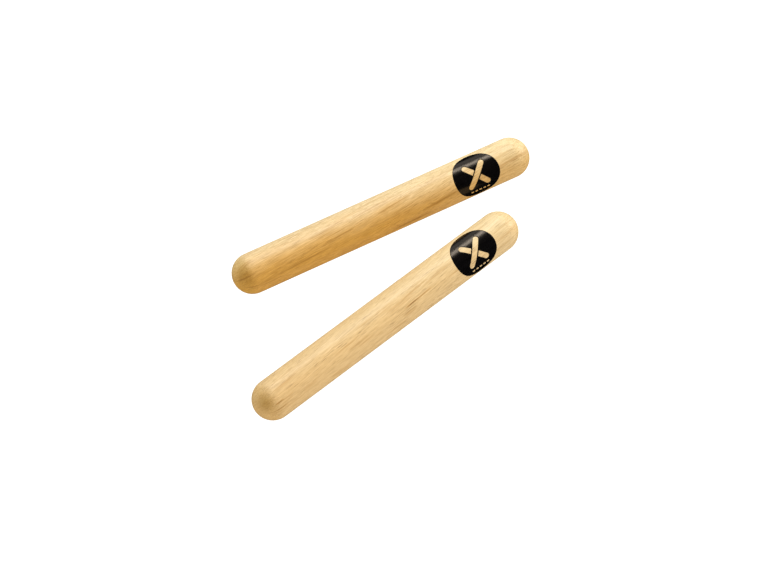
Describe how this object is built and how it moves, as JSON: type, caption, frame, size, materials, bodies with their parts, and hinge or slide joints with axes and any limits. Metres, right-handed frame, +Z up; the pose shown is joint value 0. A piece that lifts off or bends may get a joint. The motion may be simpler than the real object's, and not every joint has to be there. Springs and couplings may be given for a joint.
{
  "type": "claves",
  "caption": "Pair of loose solid hardwood claves with hemispherical ends, each with a round black printed badge near one end.",
  "frame": {"origin": "floor level under the middle of the pair as it lies at rest", "axes": "+X along the pair, halfway between the two sticks, towards the badged ends, which lie closer together; +Y across the pair from the striking stick to the held stick; +Z up"},
  "size_m": [0.239, 0.1046, 0.0255],
  "materials": {
    "held_wood": "satin",
    "striking_wood": "satin",
    "badge_film": "gloss"
  },
  "bodies": {
    "held": {"held_clave": "held_wood", "held_clave_badge": "badge_film"},
    "striking": {"striking_clave": "striking_wood", "striking_clave_badge": "badge_film"}
  },
  "joints": [
    {"name": "striking_clave_lift", "type": "slide", "parent": "held", "child": "striking", "axis": [0, 0, 1], "range_m": [0, 0.12]}
  ]
}
